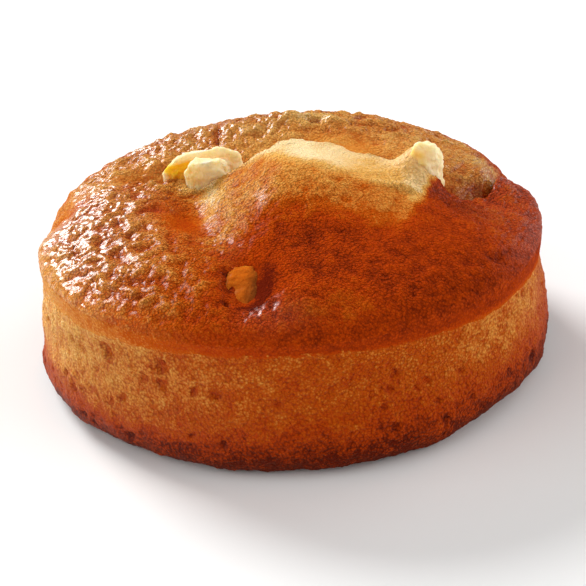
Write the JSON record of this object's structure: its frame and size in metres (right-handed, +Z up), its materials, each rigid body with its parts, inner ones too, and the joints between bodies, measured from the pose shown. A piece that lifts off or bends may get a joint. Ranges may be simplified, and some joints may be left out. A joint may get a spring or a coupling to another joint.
{
  "type": "apple cake",
  "caption": "Small round apple cake with a flat base, a straight crumb side and a browned dome that has split across the top, where pieces of apple show.",
  "frame": {"origin": "centre of the cake's outline at the plane of its base", "axes": "+Z up; -Y is the side that faces the camera, with +X to the right"},
  "size_m": [0.0861, 0.0859, 0.0358],
  "materials": {
    "crust": "baked golden-brown crust and open crumb, slightly glossy on top",
    "baked_apple": "baked amber apple, moist and glossy",
    "pale_apple": "soft pale apple flesh, moist"
  },
  "bodies": {
    "root": {"cake": "crust", "apple_front": "baked_apple", "apple_left_slice": "pale_apple", "apple_left_chunk": "pale_apple", "apple_right": "pale_apple"}
  },
  "joints": []
}
